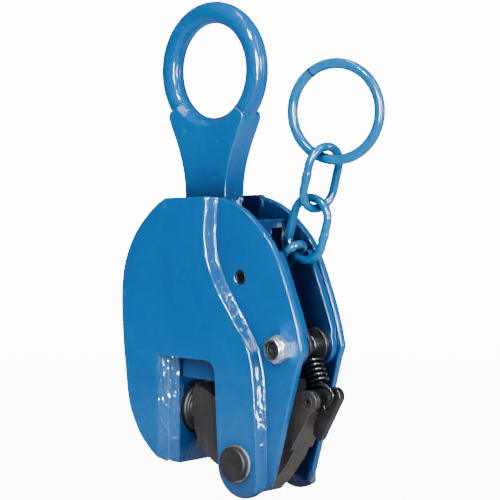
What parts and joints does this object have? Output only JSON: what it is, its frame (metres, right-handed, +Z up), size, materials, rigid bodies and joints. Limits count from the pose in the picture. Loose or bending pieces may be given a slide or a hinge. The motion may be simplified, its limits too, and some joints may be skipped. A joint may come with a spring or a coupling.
{
  "type": "plate lifting clamp",
  "caption": "Vertical plate lifting clamp: sliding lifting eye, pressed steel sides, toothed cam and round pad in the jaw, sprung lock with a release chain and pull ring.",
  "frame": {"origin": "centre of the lifting eye, on the mid-plane between the two sides", "axes": "+X towards the cam's tail and the release chain, -Y out of the front face with the lock nut, +Z up along the pull of the hoist"},
  "size_m": [0.2215, 0.0778, 0.3619],
  "materials": {
    "body_paint": "gloss blue enamel over pressed and welded steel",
    "eye_paint": "gloss blue enamel over forged steel",
    "chain_paint": "gloss blue enamel over steel wire",
    "dark_steel": "hardened, dark brownish grey, satin",
    "black_steel": "black oxide, satin",
    "zinc_plate": "zinc plated",
    "nut_plastic": "dark nylon"
  },
  "bodies": {
    "frame": {"front_shell": "body_paint", "rear_shell": "body_paint", "front_inner_plate": "body_paint", "rear_inner_plate": "body_paint", "jaw_block": "body_paint", "jaw_pad": "dark_steel", "pad_screw": "black_steel", "guide_block": "body_paint", "shank_guide": "body_paint", "guide_pin": "black_steel", "lock_bolt": "black_steel", "lock_nut": "zinc_plate", "nut_insert": "nut_plastic", "lock_bush": "black_steel", "bush_flanges": "black_steel", "cam_pin": "dark_steel", "cam_pin_washers": "zinc_plate", "cam_pin_circlip": "black_steel", "cam_spacers": "black_steel", "lock_spring": "black_steel"},
    "shackle": {"lifting_eye": "eye_paint", "shackle_pin": "black_steel"},
    "link": {"connecting_link": "dark_steel"},
    "cam": {"cam": "dark_steel", "link_pin": "black_steel", "tail_pin": "dark_steel", "spring_bracket": "black_steel"},
    "lever": {"lock_lever": "black_steel"},
    "lever_link": {"lever_link": "chain_paint"},
    "middle_link": {"middle_link": "chain_paint"},
    "ring_link": {"ring_link": "chain_paint"},
    "pull_ring": {"pull_ring": "chain_paint"}
  },
  "joints": [
    {"name": "shackle_slide", "type": "slide", "parent": "frame", "child": "shackle", "axis": [0, 0, 1], "range_m": [-0.0256, 0]},
    {"name": "link_pivot", "type": "hinge", "parent": "shackle", "child": "link", "pos_m": [0.012, 0, -0.1368], "axis": [0, 1, 0], "range_deg": [-8.5, 0]},
    {"name": "cam_pivot", "type": "hinge", "parent": "frame", "child": "cam", "pos_m": [0.0535, 0, -0.2851], "axis": [0, 1, 0], "range_deg": [0, 34.5], "deforming": ["lock_spring"]},
    {"name": "lock_lever_pivot", "type": "hinge", "parent": "frame", "child": "lever", "pos_m": [0.0895, 0, -0.1996], "axis": [0, 1, 0], "range_deg": [0, 30]},
    {"name": "lever_link_swing", "type": "hinge", "parent": "lever", "child": "lever_link", "pos_m": [0.0642, 0, -0.1444], "axis": [0, 1, 0], "range_deg": [-5, 45]},
    {"name": "middle_link_swing", "type": "hinge", "parent": "lever_link", "child": "middle_link", "pos_m": [0.08452, 0, -0.12662], "axis": [0, 1, 0], "range_deg": [-12, 38]},
    {"name": "ring_link_swing", "type": "hinge", "parent": "middle_link", "child": "ring_link", "pos_m": [0.09945, 0, -0.09302], "axis": [0.9919, 0.1271, 0], "range_deg": [-40, 40]},
    {"name": "pull_ring_swing", "type": "hinge", "parent": "ring_link", "child": "pull_ring", "pos_m": [0.11105, 0, -0.05593], "axis": [0.1305, 0.9914, 0], "range_deg": [-40, 60]}
  ],
  "couplings": [
    {"joint": "cam_pivot", "follows": "shackle_slide", "rad_per_m": -23.2},
    {"joint": "link_pivot", "follows": "shackle_slide", "rad_per_m": 5.34}
  ]
}
